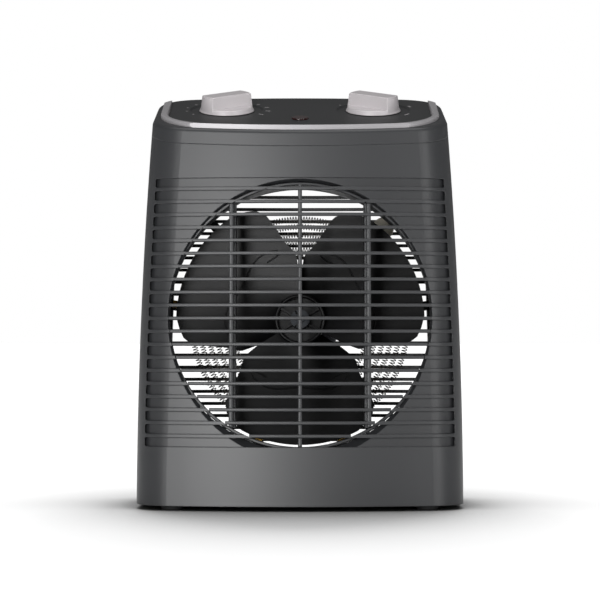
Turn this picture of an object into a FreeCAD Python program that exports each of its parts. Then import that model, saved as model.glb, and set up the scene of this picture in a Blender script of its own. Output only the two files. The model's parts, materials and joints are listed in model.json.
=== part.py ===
"""A compact 2 kW fan heater: a tapered housing with a round slatted outlet, two knobs on a sloping top
and an axial fan that draws air through a wound element.

Frame: X to the right, Y to the back, Z up, millimetres. The origin is the middle of the footprint, on the
surface that the feet stand on. The front face leans back, and the fan's axis is square to it.
"""

import FreeCAD, Part
import math
import os

from FreeCAD import Placement, Rotation, Vector

# ---------------------------------------------------------------- driving dimensions
WIDTH = 204.0                 # at the foot of the housing
DEPTH = 132.0                 # at the foot of the housing
FOOT_HEIGHT = 3.0             # the housing stands this far off the floor
SIDE_RADIUS = 3290.0          # the sides curve in on this arc, seen from the front
FRONT_LEAN = math.radians(5.0)
REAR_LEAN = math.radians(1.5)
FRONT_BOW = 400.0             # plan radius of the front face
FRONT_CORNER = 25.0
REAR_BOW = 490.0
REAR_CORNER = 28.0
WALL = 2.6                    # moulded wall
FIELD_WALL = 4.6              # wall behind the ribbed field
LOFT_TOP = 284.0
LOFT_STEPS = 5
SPLIT_Y = 14.0                # where the front and rear mouldings meet
SEAM = 0.35                   # visible gap between mouldings

TOP_SLOPE = 16.5              # degrees, falling to the front
TOP_FRONT_Z = 235.0           # the rim at the middle of the front
CAP_HEIGHT = 9.1              # of the top cap, measured square to its slope
CAP_EDGE = 3.0                # rounding of the rim
RIM_FLANGE = 4.6
CAP_SEAM = 0.12
REAR_LIP = 2.0                # left standing behind the control panel

RIB_COUNT = 20
RIB_PITCH = 8.05
RIB_TOP_Z = 198.9             # middle of the highest rib
RIB_THICK = 2.1
GROOVE_DEPTH = 2.0
GROOVE_END = 5.6              # from the end of a groove to the housing's side
GROOVE_CORNER = 1.3
FIELD_TOP = 205.6
FIELD_FOOT = 39.2

DUCT_Z = 120.6                # middle of the round outlet, on the front face
DUCT_R = 81.3
COLLAR_WALL = 2.0
COLLAR_END = 22.0             # how far back the collar reaches along the fan's axis
SLAT_DEPTH = 8.0
CENTRE_BAR = 2.6
SIDE_BAR = 2.9
SIDE_BAR_X = 42.5
STAY_X = 39.6                 # inner face of the deep stays behind the side bars
STAY_THICK = 3.2

REAR_FIELD_TOP = 208.0
REAR_FIELD_FOOT = 22.0
REAR_FIELD_SIDE = 12.0        # from the field's side to the housing's side
REAR_SLAT_DEPTH = 5.0

FAN_TIP_R = 78.8
FAN_HUB_R = 16.0
FAN_FRONT = 31.0              # along the fan's axis, from the front face
FAN_DEPTH = 22.0
BLADES = 3
BLADE_THICK = 1.8
SHAFT_R = 2.5
ROTOR_R = 12.5
STATOR_BORE = 13.0
STATOR_SIDE = 46.0
STATOR_FRONT = 64.0
STATOR_LONG = 20.0

ELEMENT_AT = 78.0             # along the axis, the plane of the wound coils
COIL_R = 2.0
COIL_RINGS = [44.5, 49.5, 54.5, 59.5, 64.5, 69.5]
BAR_ANGLES = [10, 50, 130, 170, 250, 290]   # anticlockwise from +X, seen from the front
MOUNT_AT = 94.0
MOUNT_RING = (91.4, 94.0)
LUG_ANGLES = [45, 135, 225, 315]
LUG_R = 101.0

KNOB_X = 47.5
KNOB_Y = 20.0                 # in the housing's own Y
KNOB_R = 17.8
KNOB_TURN = 36.0              # how far each grip is turned from the left-right line, at rest
KNOB_GRIP = 14.0
KNOB_SKIRT = 2.8
KNOB_HEIGHT = 10.8
KNOB_GAP = 0.5                # between a knob's skirt and its dial
SPINDLE_R = 3.0
DIAL_R = 24.0
DIAL_DEPTH = 1.0
PANEL_DROP = 0.6              # the panel's face lies this far under the rim's plane
PANEL_THICK = 2.6
TRIM_WIDE = 4.6
TRIM_RISE = 2.6
TRIM_SINK = 1.8
TRIM_FRONT_GAP = 1.4
TRIM_SIDE_GAP = 4.2
TRIM_REAR_GAP = -34.0         # the outline runs out behind the housing, so the ring is open there
TRIM_CORNER = 38.0
PANEL_LIP = 2.4               # the panel's edge lies under the trim ring, this far from its outside
CONTROL_SCREWS = [(-12.0, -8.0), (14.0, 8.0)]

FOOT_R = 7.0
FOOT_X = 79.0
FOOT_Y = 45.0
CORD_X = 62.0
CORD_Z = 13.5
CORD_R = 3.5                  # a 7 mm three-core flex
GLAND_R = 6.5
LENS_R = 4.6
LENS_Y = -8.0
SHELL_SCREWS = [(-84.0, 13.5), (84.0, 13.5), (-82.0, 220.0), (82.0, 220.0)]
BOLT_X = 18.5                 # the motor's two through bolts
GRIP_HALF = 41.0
GRIP_LOW, GRIP_HIGH = 216.0, 236.0
GRIP_FRONT = 45.0


# ---------------------------------------------------------------- helpers
def box(x, y, z):
    """A box between two limits on each axis."""
    return Part.makeBox(x[1] - x[0], y[1] - y[0], z[1] - z[0], Vector(x[0], y[0], z[0]))


def rod(radius, low, high, x=0.0, y=0.0):
    """A round bar along Z between two heights."""
    return Part.makeCylinder(radius, high - low, Vector(x, y, low))


def tube(outer, inner, low, high, x=0.0, y=0.0):
    return rod(outer, low, high, x, y).cut(rod(inner, low - 1, high + 1, x, y))


def joined(shapes):
    """The union of several shapes that touch, as clean solids."""
    return shapes[0].multiFuse(shapes[1:]).removeSplitter()


def slot_wire(half_x, low, high, corner, y):
    """A rounded rectangle in the XZ plane at y."""
    c = corner
    p = [(-half_x + c, low), (half_x - c, low), (half_x, low + c), (half_x, high - c),
         (half_x - c, high), (-half_x + c, high), (-half_x, high - c), (-half_x, low + c)]
    v = [Vector(a, y, b) for a, b in p]
    k = c * (1 - math.sqrt(0.5))
    mids = [Vector(half_x - k, y, low + k), Vector(half_x - k, y, high - k),
            Vector(-half_x + k, y, high - k), Vector(-half_x + k, y, low + k)]
    edges = []
    for i in range(4):
        edges.append(Part.makeLine(v[2 * i], v[2 * i + 1]))
        edges.append(Part.Arc(v[2 * i + 1], mids[i], v[(2 * i + 2) % 8]).toShape())
    return Part.Wire(edges)


# ---------------------------------------------------------------- the housing's form
def half_width(z):
    return WIDTH / 2 - SIDE_RADIUS + math.sqrt(SIDE_RADIUS**2 - (z - FOOT_HEIGHT)**2)


def front_y(z):
    return -DEPTH / 2 + (z - FOOT_HEIGHT) * math.tan(FRONT_LEAN)


def rear_y(z):
    return DEPTH / 2 - (z - FOOT_HEIGHT) * math.tan(REAR_LEAN)


def plan_outline(half, front, rear, front_bow, front_corner, rear_bow, rear_corner, z):
    """A closed outline of bowed front, straight sides and bowed rear, with tangent corner arcs."""
    def corner(face, bow, radius, way):
        """Where the bow meets its corner arc, that arc's middle point, and where the side begins."""
        reach = math.sqrt((bow - radius)**2 - (half - radius)**2)
        centre_y = face + way * (bow - reach)
        angle = math.atan2(half - radius, reach)
        on_bow = (bow * math.sin(angle), face + way * (bow - bow * math.cos(angle)))
        turn = (angle + math.pi / 2) / 2
        middle = (half - radius + radius * math.sin(turn), centre_y - way * radius * math.cos(turn))
        return on_bow, middle, (half, centre_y)

    f_bow, f_mid, f_side = corner(front, front_bow, front_corner, 1)
    r_bow, r_mid, r_side = corner(rear, rear_bow, rear_corner, -1)

    def at(point, side=1):
        return Vector(side * point[0], point[1], z)

    def arc(a, b, c):
        return Part.Arc(a, b, c).toShape()

    return Part.Wire([
        arc(at(f_bow, -1), Vector(0, front, z), at(f_bow)),
        arc(at(f_bow), at(f_mid), at(f_side)),
        Part.makeLine(at(f_side), at(r_side)),
        arc(at(r_side), at(r_mid), at(r_bow)),
        arc(at(r_bow), Vector(0, rear, z), at(r_bow, -1)),
        arc(at(r_bow, -1), at(r_mid, -1), at(r_side, -1)),
        Part.makeLine(at(r_side, -1), at(f_side, -1)),
        arc(at(f_side, -1), at(f_mid, -1), at(f_bow, -1)),
    ])


def form(inset, foot=FOOT_HEIGHT):
    """The housing's outside form, moved in by inset, from its foot to above the sloping top."""
    wires = []
    for step in range(LOFT_STEPS):
        z = foot + (LOFT_TOP - foot) * step / (LOFT_STEPS - 1)
        wires.append(plan_outline(
            half_width(z) - inset, front_y(z) + inset, rear_y(z) - inset, FRONT_BOW - inset,
            FRONT_CORNER - inset, REAR_BOW - inset, REAR_CORNER - inset, z))
    return Part.makeLoft(wires, True, False)


def top_placement():
    return Placement(Vector(0, front_y(TOP_FRONT_Z), TOP_FRONT_Z), Rotation(Vector(1, 0, 0), TOP_SLOPE))


def on_top(shape):
    """Carries a shape from the flat drawing of the top (Z square to it) to its place on the slope."""
    moved = shape.copy()
    moved.Placement = top_placement().multiply(moved.Placement)
    return moved


def top_slab(low, high):
    """Everything between two heights, square to the sloping top."""
    return on_top(box((-150, 150), (-60, 190), (low, high)))


def on_axis(shape):
    """Carries a shape drawn along Z, with Z from the front face backwards, onto the fan's axis."""
    moved = shape.copy()
    place = Placement(Vector(0, front_y(DUCT_Z), DUCT_Z),
                      Rotation(Vector(1, 0, 0), -90 - math.degrees(FRONT_LEAN)))
    moved.Placement = place.multiply(moved.Placement)
    return moved


def rib_heights():
    return [RIB_TOP_Z - RIB_PITCH * i for i in range(RIB_COUNT)]


# ---------------------------------------------------------------- housing mouldings
def groove_prisms():
    """The gaps between the ribs, as prisms running back from in front of the face."""
    ribs = rib_heights()
    limits = [(ribs[0] + RIB_THICK / 2, FIELD_TOP)]
    for upper, lower in zip(ribs, ribs[1:]):
        limits.append((lower + RIB_THICK / 2, upper - RIB_THICK / 2))
    limits.append((FIELD_FOOT, ribs[-1] - RIB_THICK / 2))
    prisms = []
    for low, high in limits:
        reach = half_width((low + high) / 2) - GROOVE_END
        wire = slot_wire(reach, low, high, GROOVE_CORNER, -90)
        prisms.append(Part.Face(wire).extrude(Vector(0, 75, 0)))
    return Part.makeCompound(prisms)


def rib_boxes(thick, half=110.0):
    return Part.makeCompound([
        box((-half, half), (-95, 0), (z - thick / 2, z + thick / 2)) for z in rib_heights()])


def outlet_flare():
    """An off-centre cone that eases the edge of the outlet, wider below than above."""
    deep = Part.Wire(Part.makeCircle(DUCT_R, Vector(0, 0, 12)))
    wide = Part.Wire(Part.makeCircle(DUCT_R + 9.6, Vector(0, 4, -4)))
    cone = on_axis(Part.makeLoft([wide, deep], True, True))
    return cone.common(box((-120, 120), (-95, 0), (FIELD_FOOT, FIELD_TOP)))


def side_post(x, z, post, low, high, forms, web_half=1.2):
    """A moulded post along Y, tied to the side wall by a web."""
    post.Placement = Placement(Vector(x, low, z), Rotation(Vector(1, 0, 0), -90))
    far = math.copysign(105.0, x)
    web = box((min(x, far), max(x, far)), (low, high), (z - web_half, z + web_half))
    bore = rod(3.0, -1, 60)
    bore.Placement = post.Placement
    return joined([post, web.cut(bore)]).common(forms[1.0])


def make_front_shell(forms):
    front = box((-120, 120), (-90, SPLIT_Y), (0, 260))
    shell = forms[0].common(front).cut(forms[FIELD_WALL])
    field = box((-120, 120), (-90, -20), (FIELD_FOOT - 4, FIELD_TOP + 4))
    shell = shell.cut(forms[WALL].cut(field).cut(forms[FIELD_WALL]))
    posts = []
    for x, z in SHELL_SCREWS:
        post = rod(4.5, 0, SPLIT_Y + 20).cut(rod(1.5, 8, 90))
        posts.append(side_post(x, z, post, -20, SPLIT_Y, forms))
    flange = on_axis(tube(DUCT_R + 11, DUCT_R + COLLAR_WALL + 0.3, -8, 12)).common(forms[1.0])
    flange = flange.common(box((-120, 120), (-90, -20), (FIELD_FOOT - 4, FIELD_TOP + 4)))
    shell = joined([shell, flange] + posts)
    shell = shell.cut(top_slab(-CAP_HEIGHT, 60))
    shell = shell.cut(groove_prisms().cut(forms[GROOVE_DEPTH]))
    shell = shell.cut(outlet_flare().cut(rib_boxes(RIB_THICK)))
    return shell.cut(on_axis(rod(DUCT_R, -20, 40)))


def slat(z, thick, out, inn):
    """A strip that follows the housing's form, between two depths below its surface."""
    def solid(inset):
        wires = []
        for level in (z - thick / 2, z + thick / 2):
            wires.append(plan_outline(
                half_width(level) - inset, front_y(level) + inset, rear_y(level) - inset, FRONT_BOW - inset,
                FRONT_CORNER - inset, REAR_BOW - inset, REAR_CORNER - inset, level))
        return Part.makeLoft(wires, True, True)
    return solid(out).cut(solid(inn))


def make_front_grille(forms):
    """Slats and bars flush with the shell's ribs, carried by a collar behind the shell."""
    core = on_axis(rod(DUCT_R - 0.3, -20, 40))
    ahead = box((-90, 90), (-90, -20), (30, 215))
    strips = Part.makeCompound([slat(z, RIB_THICK, 0, SLAT_DEPTH) for z in rib_heights()])
    strips = strips.common(core.common(ahead))
    bars = [box((-CENTRE_BAR / 2, CENTRE_BAR / 2), (-95, -20), (30, 215))]
    for side in (-1, 1):
        x = side * SIDE_BAR_X
        bars.append(box((x - SIDE_BAR / 2, x + SIDE_BAR / 2), (-95, -20), (30, 215)))
    upright = forms[0.5].cut(forms[SLAT_DEPTH - 0.5]).common(core).common(Part.makeCompound(bars))
    collar = on_axis(tube(DUCT_R + COLLAR_WALL, DUCT_R - 0.6, -5, COLLAR_END)).common(forms[FIELD_WALL + 0.3])
    stays = []
    for side in (-1, 1):
        low = min(side * STAY_X, side * (STAY_X + STAY_THICK))
        stays.append(on_axis(box((low, low + STAY_THICK), (-90, 90), (-5, COLLAR_END))))
    stays = Part.makeCompound(stays).common(on_axis(rod(DUCT_R, -5, 40))).common(forms[FIELD_WALL + 0.3])
    return joined([collar] + stays.Solids + upright.Solids + strips.Solids)


def make_rear_shell(forms):
    rear = box((-120, 120), (SPLIT_Y + SEAM, 90), (0, 275))
    shell = forms[0].common(rear).cut(forms[WALL])
    pocket = forms[0].common(box((-GRIP_HALF - WALL, GRIP_HALF + WALL), (GRIP_FRONT - WALL, 90),
                                 (GRIP_LOW - WALL, GRIP_HIGH + WALL)))
    shell = joined([shell, pocket]).cut(rear_window(0.0, 90))
    shell = shell.cut(box((-GRIP_HALF, GRIP_HALF), (GRIP_FRONT, 90), (GRIP_LOW, GRIP_HIGH)))
    bosses = []
    for x, z in SHELL_SCREWS:
        sleeve = rod(6.0, 0, 60).cut(rod(1.9, -1, 6)).cut(rod(3.7, 5, 90))
        bosses.append(side_post(x, z, sleeve, SPLIT_Y + SEAM, 52, forms))
    rail = on_axis(box((-77, 77), (-150, 150), (-200, MOUNT_AT + 2.05)))
    intake = rear_window(-0.6, 90).cut(forms[SLAT_DEPTH - 0.5])
    for degrees in LUG_ANGLES:
        x, z = LUG_R * math.cos(math.radians(degrees)), lug_height(degrees)
        post = side_post(x, z, rod(3.8, 0, 24), 32, 56, forms, 3.0).cut(rail).cut(intake)
        bore = on_axis(rod(1.5, MOUNT_AT, MOUNT_AT + 30, x, -LUG_R * math.sin(math.radians(degrees))))
        bosses.append(post.cut(bore))
    shell = joined([shell] + bosses)
    shell = shell.cut(top_slab(-CAP_HEIGHT, 60))
    for x, z in SHELL_SCREWS:
        hole = rod(3.7, SPLIT_Y + SEAM + 5, 90)
        hole.Placement = Placement(Vector(x, 0, z), Rotation(Vector(1, 0, 0), -90))
        shell = shell.cut(hole)
    gland_hole = rod(GLAND_R + 0.1, 40, 80)
    gland_hole.Placement = Placement(Vector(CORD_X, 0, CORD_Z), Rotation(Vector(1, 0, 0), -90))
    return shell.cut(gland_hole)


def lug_height(degrees):
    """The height of a mounting lug at an angle on the ring behind the fan."""
    return (DUCT_Z - (MOUNT_AT + 8) * math.sin(FRONT_LEAN)
            + LUG_R * math.sin(math.radians(degrees)) * math.cos(FRONT_LEAN))


def rear_window(margin, reach):
    """The intake's trapezoid, as a prism; margin makes it smaller."""
    low, high = REAR_FIELD_FOOT + margin, REAR_FIELD_TOP - margin
    a = half_width(low) - REAR_FIELD_SIDE - margin
    b = half_width(high) - REAR_FIELD_SIDE - margin
    points = [Vector(-a, 20, low), Vector(a, 20, low), Vector(b, 20, high), Vector(-b, 20, high)]
    return Part.Face(Part.makePolygon(points + points[:1])).extrude(Vector(0, reach - 20, 0))


def make_rear_grille():
    """The intake grille: a frame, slats at the outlet's pitch and three uprights."""
    back = box((-120, 120), (26, 90), (0, 260))
    window = rear_window(0.3, 90)
    heights = rib_heights() + [RIB_TOP_Z - RIB_PITCH * (RIB_COUNT + extra) for extra in (0, 1)]
    strips = [slat(z, RIB_THICK, 1.0, REAR_SLAT_DEPTH - 0.4) for z in heights]
    strips = Part.makeCompound(strips).common(window.common(back))
    tall = (REAR_FIELD_TOP + REAR_FIELD_FOOT) / 2
    skin = slat(tall, REAR_FIELD_TOP - REAR_FIELD_FOOT + 2, 0.6, REAR_SLAT_DEPTH).common(back)
    frame = skin.common(window).cut(rear_window(2.8, 95))
    skin = slat(tall, REAR_FIELD_TOP - REAR_FIELD_FOOT + 2, 1.6, REAR_SLAT_DEPTH - 0.8).common(back)
    uprights = [box((x - 1.3, x + 1.3), (20, 90), (REAR_FIELD_FOOT + 1, REAR_FIELD_TOP - 1))
                for x in (-45.0, 0.0, 45.0)]
    posts = skin.common(Part.makeCompound(uprights))
    return joined([frame] + posts.Solids + strips.Solids)


def trim_outline(grow, z):
    """The outside of the trim ring in the flat drawing of the top, moved out by grow."""
    mid_z = TOP_FRONT_Z + 12
    stretch = 1 / math.cos(math.radians(TOP_SLOPE))
    rear_z = TOP_FRONT_Z + math.tan(math.radians(TOP_SLOPE)) * (rear_y(265) - front_y(TOP_FRONT_Z))
    half = half_width(mid_z) - TRIM_SIDE_GAP + grow
    front = TRIM_FRONT_GAP * stretch - grow
    rear = (rear_y(rear_z) - front_y(TOP_FRONT_Z) - TRIM_REAR_GAP) * stretch + grow
    return plan_outline(half, front, rear, FRONT_BOW + grow, TRIM_CORNER + grow,
                        REAR_BOW + grow, TRIM_CORNER + grow, z)


def top_prism(grow, low, high):
    return Part.Face(trim_outline(grow, low)).extrude(Vector(0, 0, high - low))


def make_top_cap(forms):
    """The rim of the housing above the seam, open in the middle for the control panel."""
    block = forms[0].common(top_slab(-CAP_HEIGHT + CAP_SEAM, 0))
    square = top_placement().Rotation.multVec(Vector(0, 0, 1))
    top = max(block.Faces, key=lambda face: face.CenterOfMass.dot(square))
    block = block.makeFillet(CAP_EDGE, top.OuterWire.Edges)
    hollow = forms[WALL].common(top_slab(-CAP_HEIGHT - 2, -RIM_FLANGE))
    seat = on_top(top_prism(0.15, -TRIM_SINK - 0.2, 20))
    ledge = on_top(top_prism(0.2 - PANEL_LIP, -PANEL_DROP - PANEL_THICK - 0.05, 20))
    hole = on_top(top_prism(-TRIM_WIDE - 3.0, -40, 20)).common(forms[WALL + 0.35])
    return block.cut(hollow).cut(joined([seat, ledge]).common(forms[REAR_LIP])).cut(hole)


def make_trim_ring(forms):
    """A raised ring round the panel; its arms fall to the rim's level at the lip in the rear."""
    ring = top_prism(0, -TRIM_SINK, TRIM_RISE).cut(top_prism(-TRIM_WIDE, -TRIM_SINK - 1, TRIM_RISE + 1))
    top = [e for e in ring.Edges if abs(e.BoundBox.ZMin - TRIM_RISE) < 1e-4
           and abs(e.BoundBox.ZMax - TRIM_RISE) < 1e-4]
    ring = ring.makeFillet(1.6, top)
    fall = Part.makePolygon([Vector(-120, 50, TRIM_RISE), Vector(-120, 122, -0.2), Vector(-120, 200, -0.2),
                             Vector(-120, 200, 9), Vector(-120, 50, 9), Vector(-120, 50, TRIM_RISE)])
    ring = ring.cut(Part.Face(fall).extrude(Vector(240, 0, 0)))
    return on_top(ring).common(forms[WALL])


def flat_y(y):
    """A place in the housing's Y as a distance up the slope in the flat drawing of the top."""
    return (y - front_y(TOP_FRONT_Z)) / math.cos(math.radians(TOP_SLOPE))


def make_control_panel(forms):
    """The plate the controls stand on, its edge caught between the trim ring and the cap."""
    face = -PANEL_DROP
    under = -TRIM_SINK - 0.05
    plate = joined([top_prism(-PANEL_LIP, face - PANEL_THICK, under), top_prism(-TRIM_WIDE - 0.25, under, face)])
    y = flat_y(KNOB_Y)
    for side in (-1, 1):
        x = side * KNOB_X
        plate = plate.cut(Part.makeCone(DIAL_R - 1.2, DIAL_R, DIAL_DEPTH, Vector(x, y, face - DIAL_DEPTH)))
        plate = plate.cut(rod(SPINDLE_R + 0.5, face - 20, face + 5, x, y))
        for dx, dy in CONTROL_SCREWS:
            plate = plate.cut(rod(1.3, face - PANEL_THICK - 1, face - 1.4, x + dx, y + dy))
    plate = plate.cut(rod(LENS_R + 0.1, face - 20, face + 5, 0, flat_y(LENS_Y)))
    return on_top(plate).common(forms[WALL])


# ---------------------------------------------------------------- controls
def make_knob(side):
    """A skirt with a straight grip across it, over a blind hole for the spindle."""
    floor = -PANEL_DROP - DIAL_DEPTH + KNOB_GAP
    skirt = Part.makeCone(KNOB_R, KNOB_R - 1.4, KNOB_SKIRT)
    skirt = skirt.makeFillet(0.8, [e for e in skirt.Edges if e.BoundBox.ZMin > KNOB_SKIRT - 0.01])
    half, narrow = KNOB_GRIP / 2, KNOB_GRIP / 2 - 1.0
    section = Part.makePolygon([Vector(-40, -half, 0), Vector(-40, half, 0), Vector(-40, narrow, KNOB_HEIGHT),
                                Vector(-40, -narrow, KNOB_HEIGHT), Vector(-40, -half, 0)])
    grip = Part.Face(section).extrude(Vector(80, 0, 0))
    grip = grip.common(Part.makeCone(KNOB_R - 0.5, KNOB_R - 1.8, KNOB_HEIGHT))
    grip = grip.makeFillet(0.9, [e for e in grip.Edges if e.BoundBox.ZMin > KNOB_HEIGHT - 0.01])
    knob = skirt.fuse(grip).cut(rod(SPINDLE_R + 0.05, -1, 8.0))
    knob = knob.cut(tube(KNOB_R - 3.0, SPINDLE_R + 3.0, -1, 0.9))
    knob.Placement = Placement(Vector(side * KNOB_X, flat_y(KNOB_Y), floor),
                               Rotation(Vector(0, 0, 1), -side * KNOB_TURN))
    knob.Placement = top_placement().multiply(knob.Placement)
    return knob


def spindle(side, low):
    """A round spindle from inside its control up into the knob."""
    floor = -PANEL_DROP - DIAL_DEPTH + KNOB_GAP
    shaft = rod(SPINDLE_R, low, floor + 7.6, side * KNOB_X, flat_y(KNOB_Y))
    collar = rod(SPINDLE_R + 1.5, low, low + 2, side * KNOB_X, flat_y(KNOB_Y))
    return on_top(joined([shaft, collar]))


def under_panel(shape, side):
    """Places a control drawn downwards from the panel's back face at its knob."""
    back = -PANEL_DROP - PANEL_THICK
    shape.translate(Vector(side * KNOB_X, flat_y(KNOB_Y), back))
    return on_top(shape)


def make_thermostat_parts():
    """A snap-action room thermostat: frame, ceramic base, bimetal and contact spring."""
    frame = box((-17, 17), (-11, 11), (-1.6, -0.1)).cut(rod(SPINDLE_R + 0.05, -3, 1))
    for dx, dy in CONTROL_SCREWS:
        frame = frame.cut(rod(1.7, -3, 1, dx, dy))
    frame = joined([frame, box((-17, -15.5), (-11, 11), (-16, -1.6))])
    ceramic = box((-15.3, -3), (-9, 9), (-15, -10)).fuse(box((-15.3, -11), (-9, 9), (-10, -4)))
    bimetal = box((-13.5, 14), (-4, 4), (-17.0, -16.2)).fuse(box((-13.5, -9), (-4, 4), (-16.2, -15.0)))
    contact = box((-9, 12), (-3, 3), (-8.6, -8.0)).fuse(box((-10.9, -9), (-3, 3), (-9.9, -8.0)))
    return {
        "thermostat_frame": under_panel(frame, -1),
        "thermostat_base": under_panel(ceramic.removeSplitter(), -1),
        "thermostat_bimetal": under_panel(bimetal.removeSplitter(), -1),
        "thermostat_contact": under_panel(contact.removeSplitter(), -1),
    }


def make_selector_switch():
    body = box((-13, 13), (-13, 13), (-19, -0.1)).cut(rod(SPINDLE_R + 0.05, -30, 1))
    body = body.cut(rod(SPINDLE_R + 1.8, -14, -8))
    upright = [e for e in body.Edges if abs(e.BoundBox.XLength) < 1e-6 and abs(e.BoundBox.YLength) < 1e-6]
    body = body.makeFillet(2.0, upright)
    tabs = [box((x - 2.4, x + 2.4), (y - 0.4, y + 0.4), (-26, -19)) for x in (-8, 0, 8) for y in (-10, 10)]
    return under_panel(body, 1), under_panel(Part.makeCompound(tabs), 1)


def make_control_screws():
    screws = []
    face = -PANEL_DROP - PANEL_THICK
    for x, y in CONTROL_SCREWS:
        screw = rod(1.25, -2.6, 1.1, x, y).fuse(rod(2.6, -3.0, -1.65, x, y))
        screw.translate(Vector(-KNOB_X, flat_y(KNOB_Y), face))
        screws.append(on_top(screw.removeSplitter()))
    return Part.makeCompound(screws)


def make_indicator():
    """A domed lens in the panel and the neon lamp in its holder below."""
    y = flat_y(LENS_Y)
    face = -PANEL_DROP
    stem = rod(LENS_R, face - PANEL_THICK - 2, face, 0, y)
    cap = rod(LENS_R + 0.9, face + 0.02, face + 1.0, 0, y)
    lens = joined([stem, cap, rod(LENS_R, face - 0.5, face + 0.5, 0, y)])
    edge = [e for e in lens.Edges if abs(e.BoundBox.ZMin - face - 1.0) < 1e-3]
    lens = lens.makeFillet(0.6, edge).cut(rod(LENS_R - 1.0, face - PANEL_THICK - 3, face - 0.6, 0, y))
    lamp = rod(2.4, face - 11, face - 3.4, 0, y)
    lamp = lamp.fuse(Part.makeSphere(2.4, Vector(0, y, face - 3.4))).removeSplitter()
    holder = tube(4.4, 2.5, face - 12, face - PANEL_THICK - 2.1, 0, y)
    return on_top(lens), on_top(lamp), on_top(holder)


# ---------------------------------------------------------------- fan and motor
def petal(radius, z_low, z_high):
    """The outline of one blade seen along the axis, as a prism: wide at the waist and round at the tip."""
    def polar(r, degrees):
        a = math.radians(degrees)
        return Vector(r * math.sin(a), r * math.cos(a), z_low)

    side = [(12, 59), (30, 59), (42, 57), (50, 49), (60, 45), (70, 42.5), (radius - 3.2, 38)]
    right = [polar(r, a) for r, a in side] + [polar(radius, 29)]
    left = [Vector(-p.x, p.y, p.z) for p in right]
    edge_r, edge_l = Part.BSplineCurve(), Part.BSplineCurve()
    edge_r.interpolate(right)
    edge_l.interpolate(left)
    tip = Part.Arc(right[-1], Vector(0, radius, z_low), left[-1]).toShape()
    root = Part.makeLine(left[0], right[0])
    wire = Part.Wire([root, edge_r.toShape(), tip, edge_l.toShape()])
    return Part.Face(wire).extrude(Vector(0, 0, z_high - z_low))


def blade():
    """A cambered screw surface of even thickness, cut to the petal outline."""
    sections = []
    steps, reach = 8, 62.0
    for i in range(steps + 1):
        degrees = -reach + 2 * reach * i / steps
        share = degrees / reach
        z = FAN_FRONT + FAN_DEPTH / 2 + share * (FAN_DEPTH / 2 - 2) + 2.4 * (share * share - 0.5)
        a = math.radians(degrees)
        across = Vector(math.sin(a), math.cos(a), 0)
        inner, outer = across * 8.0, across * 90.0
        lift = Vector(0, 0, z)
        thick = Vector(0, 0, BLADE_THICK)
        points = [inner + lift, outer + lift, outer + lift + thick, inner + lift + thick]
        sections.append(Part.makePolygon(points + points[:1]))
    skin = Part.makeLoft(sections, True, False)
    return skin.common(petal(FAN_TIP_R, 0, 120))


def make_impeller():
    one = blade()
    blades = []
    for i in range(BLADES):
        copy = one.copy()
        copy.rotate(Vector(0, 0, 0), Vector(0, 0, 1), 360.0 * i / BLADES)
        blades.append(copy)
    front, back = FAN_FRONT + 1.0, FAN_FRONT + FAN_DEPTH
    hub = tube(FAN_HUB_R, SHAFT_R + 0.02, front, back)
    hub = hub.cut(tube(FAN_HUB_R - 2.0, 6.0, front - 1, front + 5))
    hub = hub.cut(tube(FAN_HUB_R - 2.0, 6.0, back - 10, back + 1))
    webs = []
    for i in range(6):
        web = box((5.5, FAN_HUB_R - 1.5), (-0.8, 0.8), (front + 1.2, front + 6))
        web.rotate(Vector(0, 0, 0), Vector(0, 0, 1), 30 + 60 * i)
        webs.append(web)
    wheel = joined([hub] + webs + blades)
    wheel = wheel.cut(rod(SHAFT_R + 0.02, 0, 120))
    wheel = wheel.cut(tube(FAN_HUB_R - 2.0, 6.0, back - 10, back + 5))
    return on_axis(wheel)


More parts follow.
